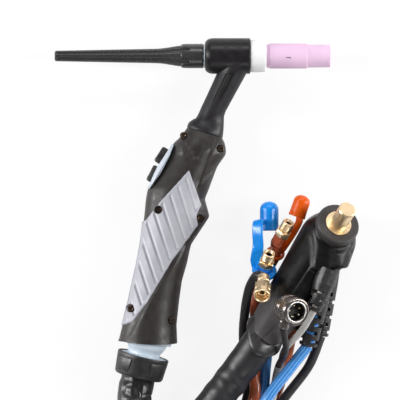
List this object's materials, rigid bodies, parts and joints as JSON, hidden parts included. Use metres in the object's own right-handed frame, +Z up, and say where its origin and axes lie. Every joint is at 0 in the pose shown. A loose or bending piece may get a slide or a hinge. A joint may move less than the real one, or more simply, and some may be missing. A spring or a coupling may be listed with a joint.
{
  "type": "tig torch",
  "caption": "Water cooled TIG welding torch with a ball swivel, two push buttons and a long back cap, on a coiled hose package with a plug, fittings and caps.",
  "frame": {"origin": "on the table, under the centre of the torch's own box, cap end to cup end and head to collar", "axes": "+X along the head towards the ceramic cup, +Y up the handle towards the head, +Z up from the table"},
  "size_m": [0.3302, 0.7079, 0.075],
  "materials": {
    "black_phenolic": "moulded, soft gloss",
    "black_silicone": "smooth rubber",
    "brass": "turned",
    "copper": "drawn",
    "white_ptfe": "smooth",
    "pink_ceramic": "fired, fine grained",
    "tungsten": "ground",
    "charcoal_nylon": "fine texture",
    "grey_grip": "soft, ribbed",
    "screw_steel": "dark",
    "pale_plastic": "smooth",
    "black_button": "smooth",
    "board": "laminate",
    "black_rubber_hose": "smooth",
    "blue_hose": "smooth, pale stripe",
    "red_hose": "smooth",
    "collar_black": "moulded",
    "black_leather": "glossy, creased",
    "boot_rubber": "satin",
    "grey_cable": "smooth",
    "blue_cap": "soft gloss",
    "orange_cap": "soft gloss",
    "dark_metal": "satin black",
    "insert_black": "smooth"
  },
  "bodies": {
    "cable_side": {"leather_hose": "black_leather", "hose_coil": "black_leather", "machine_hose": "black_rubber_hose", "elbow_boot": "boot_rubber", "tail_boot": "boot_rubber", "plug_pin": "brass", "control_relief": "boot_rubber", "blue_relief": "boot_rubber", "gas_relief": "boot_rubber", "red_relief": "boot_rubber", "control_cable": "grey_cable", "blue_hose": "blue_hose", "gas_hose": "black_rubber_hose", "red_hose": "red_hose", "blue_fitting": "brass", "red_fitting": "brass", "gas_fitting": "brass", "blue_cap": "blue_cap", "orange_cap": "orange_cap", "control_body": "dark_metal", "control_insert": "insert_black", "control_backshell": "dark_metal", "collar_nut": "collar_black"},
    "gas_nut": {"gas_nut": "brass"},
    "control_ring": {"control_ring": "dark_metal"},
    "sleeve": {"ball_sleeve": "pale_plastic"},
    "seat": {"ball_seat": "black_silicone"},
    "torch": {"head_core": "brass", "head_cover": "black_phenolic", "neck_cover": "black_silicone", "neck_tubes": "copper", "cup_insulator": "white_ptfe", "collet_body": "brass", "collet": "copper", "handle_shell_upper": "charcoal_nylon", "handle_shell_lower": "charcoal_nylon", "grip_insert_upper": "grey_grip", "grip_insert_lower": "grey_grip", "handle_screws": "screw_steel", "switch_bezel": "pale_plastic", "switch_board": "board", "inner_gas_hose": "black_rubber_hose", "inner_water_hose": "blue_hose", "inner_power_hose": "red_hose"},
    "trigger_front": {"trigger_front": "black_button"},
    "trigger_rear": {"trigger_rear": "black_button"},
    "cap_slide": {"back_cap_seal": "black_silicone"},
    "back_cap": {"back_cap": "black_phenolic"},
    "cup": {"ceramic_cup": "pink_ceramic"},
    "electrode": {"tungsten_electrode": "tungsten"}
  },
  "joints": [
    {"name": "cable_swivel", "type": "hinge", "parent": "cable_side", "child": "sleeve", "pos_m": [-0.0337, -0.0948, 0.0225], "axis": [-0.2347, -0.9708, -0.0499], "range_deg": [-90, 90]},
    {"name": "tilt_side", "type": "hinge", "parent": "sleeve", "child": "seat", "pos_m": [-0.0337, -0.0948, 0.0225], "axis": [0, 0, 1], "range_deg": [-14, 6]},
    {"name": "tilt_lift", "type": "hinge", "parent": "seat", "child": "torch", "pos_m": [-0.0337, -0.0948, 0.0225], "axis": [0.99, -0.141, 0], "range_deg": [-8, 8]},
    {"name": "front_button", "type": "slide", "parent": "torch", "child": "trigger_front", "axis": [0.8383, -0.5452, 0], "range_m": [0, 0.0015], "stiffness_N_per_m": 400, "springref_m": -0.0005},
    {"name": "rear_button", "type": "slide", "parent": "torch", "child": "trigger_rear", "axis": [0.8863, -0.4631, 0], "range_m": [0, 0.0015], "stiffness_N_per_m": 400, "springref_m": -0.0005},
    {"name": "cap_travel", "type": "slide", "parent": "torch", "child": "cap_slide", "axis": [-1, 0, 0], "range_m": [0, 0.0101]},
    {"name": "cap_turn", "type": "hinge", "parent": "cap_slide", "child": "back_cap", "pos_m": [0, 0.1167, 0.0225], "axis": [-1, 0, 0], "range_deg": [0, 2880]},
    {"name": "cup_turn", "type": "hinge", "parent": "torch", "child": "cup", "pos_m": [0.07, 0.1167, 0.0225], "axis": [1, 0, 0], "continuous": true},
    {"name": "electrode_slide", "type": "slide", "parent": "torch", "child": "electrode", "axis": [1, 0, 0], "range_m": [0, 0.038]},
    {"name": "gas_nut_turn", "type": "hinge", "parent": "cable_side", "child": "gas_nut", "pos_m": [0.0512, -0.0623, 0.061], "axis": [-0.08, -0.6202, 0.7803], "continuous": true},
    {"name": "control_ring_turn", "type": "hinge", "parent": "cable_side", "child": "control_ring", "pos_m": [0.0765, -0.0736, 0.07], "axis": [0.4299, -0.18, 0.8848], "continuous": true}
  ],
  "couplings": [
    {"joint": "cap_travel", "follows": "cap_turn", "m_per_rad": 0.00019894}
  ]
}
